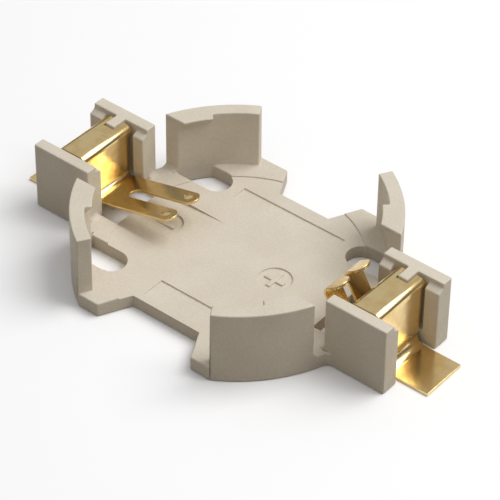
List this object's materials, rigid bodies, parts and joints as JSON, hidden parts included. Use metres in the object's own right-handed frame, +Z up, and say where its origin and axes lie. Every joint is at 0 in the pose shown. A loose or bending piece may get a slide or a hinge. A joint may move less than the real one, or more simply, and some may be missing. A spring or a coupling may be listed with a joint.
{
  "type": "coin cell holder",
  "caption": "Surface-mount holder for a coin cell: moulded seat with snap-lip walls, two end towers and folded spring contacts.",
  "frame": {"origin": "middle of the cell seat, on the plane of the circuit board under the base", "axes": "+X along the long axis to the positive end, +Z up from the board to the open side of the seat"},
  "size_m": [0.0348, 0.0192, 0.0056],
  "materials": {
    "resin": "fine matte",
    "contact_metal": "bright plated"
  },
  "bodies": {
    "root": {"housing": "resin", "negative_contact": "contact_metal", "positive_contact": "contact_metal"}
  },
  "joints": []
}
